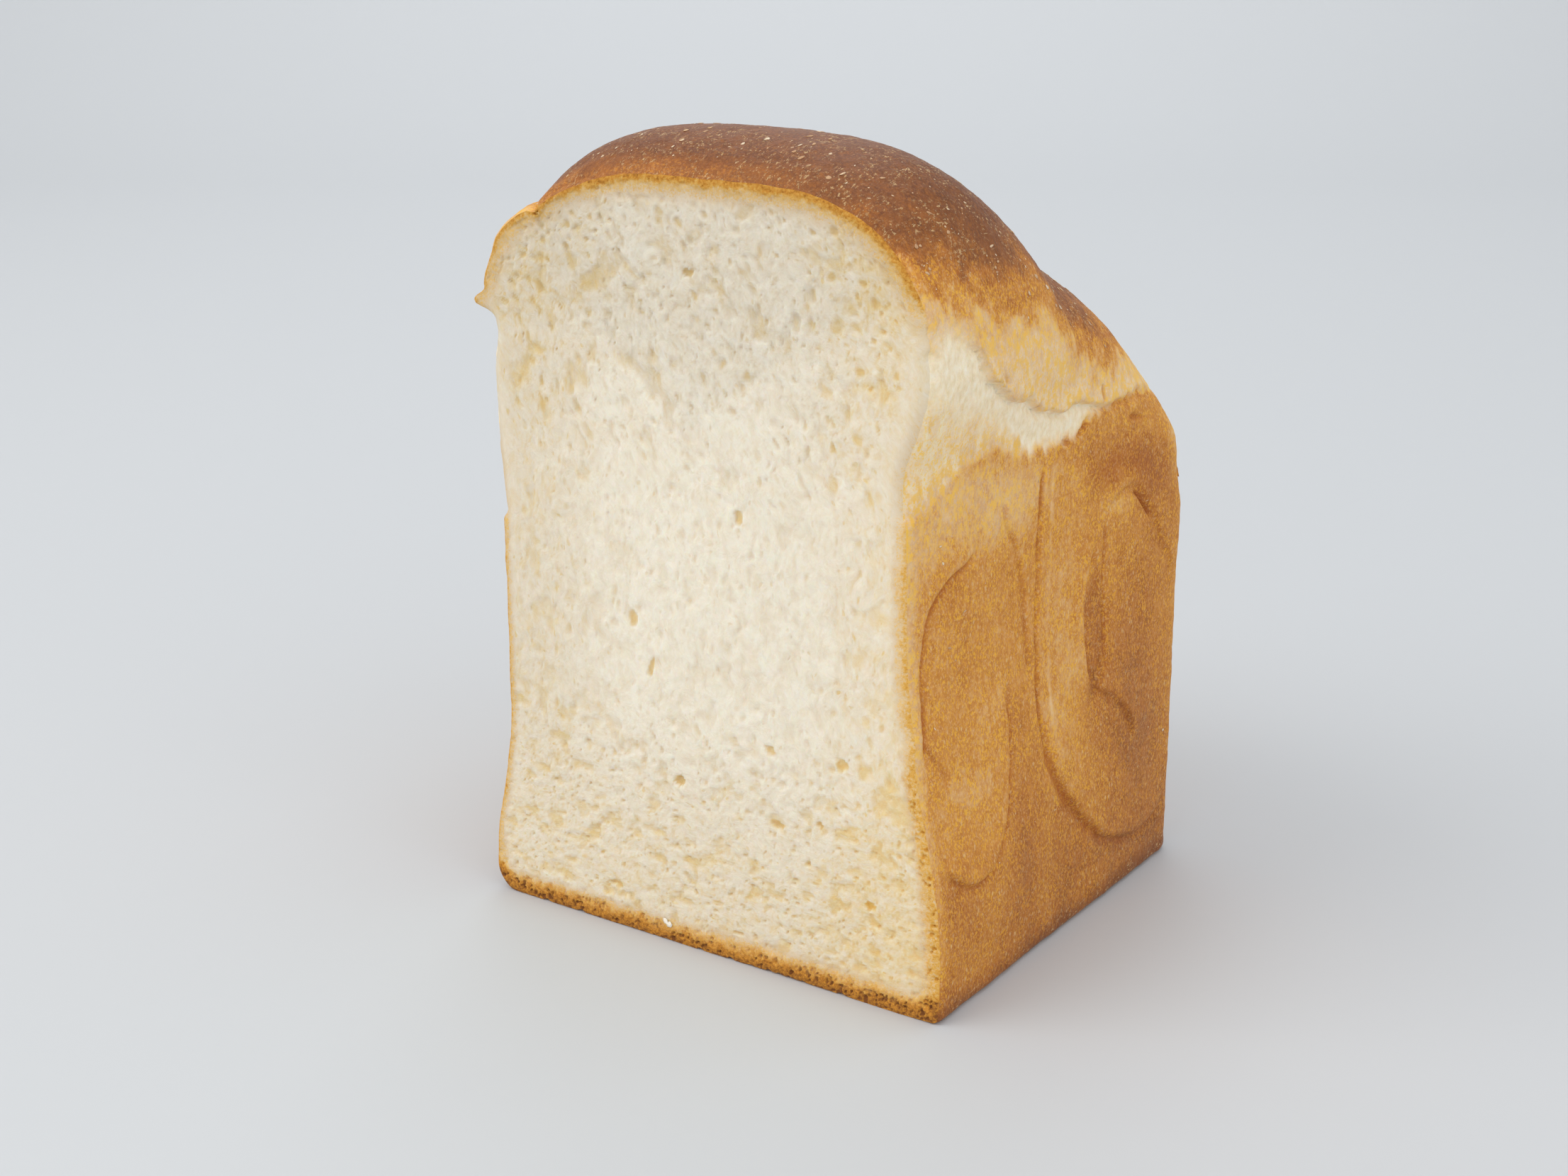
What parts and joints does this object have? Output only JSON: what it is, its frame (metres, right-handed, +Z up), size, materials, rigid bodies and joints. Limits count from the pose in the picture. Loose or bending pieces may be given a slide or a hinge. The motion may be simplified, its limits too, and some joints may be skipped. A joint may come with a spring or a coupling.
{
  "type": "tin loaf",
  "caption": "Half of a round-topped tin loaf of white bread, cut across, standing on its foot with the flat crumb face to the front.",
  "frame": {"origin": "centre of the loaf's footprint, on the surface that it stands on", "axes": "+Z up through the domes, +Y along the loaf from the cut crumb face at -Y to the end wall, +X across the loaf to its right wall"},
  "size_m": [0.12, 0.112, 0.1758],
  "materials": {
    "crust": "golden to chestnut brown baked crust, satin",
    "crumb": "soft white open crumb on the cut face, matt"
  },
  "bodies": {
    "root": {"loaf": "crust"}
  },
  "joints": []
}
